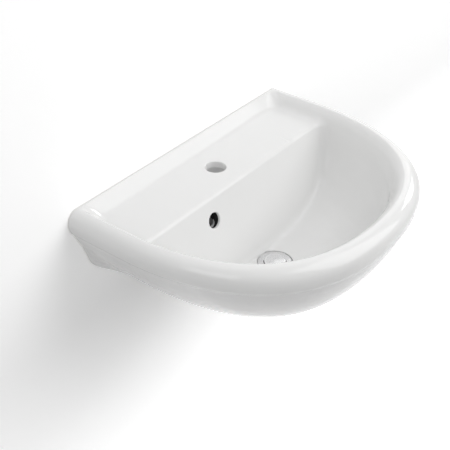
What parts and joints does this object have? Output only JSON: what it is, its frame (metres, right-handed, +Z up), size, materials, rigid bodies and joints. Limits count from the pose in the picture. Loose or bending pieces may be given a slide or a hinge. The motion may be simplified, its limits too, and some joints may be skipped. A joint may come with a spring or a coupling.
{
  "type": "wall hung basin",
  "caption": "D-shaped wall hung ceramic wash basin with a rolled rim, tap deck with tap hole, overflow, push-to-open waste and wall fixings.",
  "frame": {"origin": "midway between the wall fixing bolts, on the wall face", "axes": "+X along the wall to the basin's right as its user sees it from the front, +Y into the wall, -Y out to the front rim, +Z up"},
  "size_m": [0.549, 0.4815, 0.246],
  "materials": {
    "white_ceramic": "gloss",
    "chrome": "polished",
    "plain_brass": "machined",
    "zinc_steel": "zinc plated",
    "spring_steel": "bright",
    "seal_rubber": "matte",
    "grey_plastic": "matte",
    "white_plastic": "matte"
  },
  "bodies": {
    "basin": {"basin_body": "white_ceramic", "waste_body": "chrome", "waste_backnut": "plain_brass", "waste_top_seal": "seal_rubber", "waste_bottom_seal": "seal_rubber", "waste_slip_washer": "grey_plastic", "plug_cartridge": "grey_plastic", "cartridge_lid": "grey_plastic", "cartridge_nut": "plain_brass", "plug_spring": "spring_steel", "hanger_bolt_left": "zinc_steel", "fixing_washer_left": "zinc_steel", "fixing_nut_left": "zinc_steel", "fixing_bush_left": "white_plastic", "nut_cap_left": "white_plastic", "hanger_bolt_right": "zinc_steel", "fixing_washer_right": "zinc_steel", "fixing_nut_right": "zinc_steel", "fixing_bush_right": "white_plastic", "nut_cap_right": "white_plastic"},
    "plug": {"plug_cap": "chrome", "plug_seal": "seal_rubber", "plug_stem": "plain_brass", "plug_ratchet": "white_plastic"}
  },
  "joints": [
    {"name": "plug_slide", "type": "slide", "parent": "basin", "child": "plug", "axis": [0, 0, 1], "range_m": [0, 0.008], "deforming": ["plug_spring"]}
  ]
}
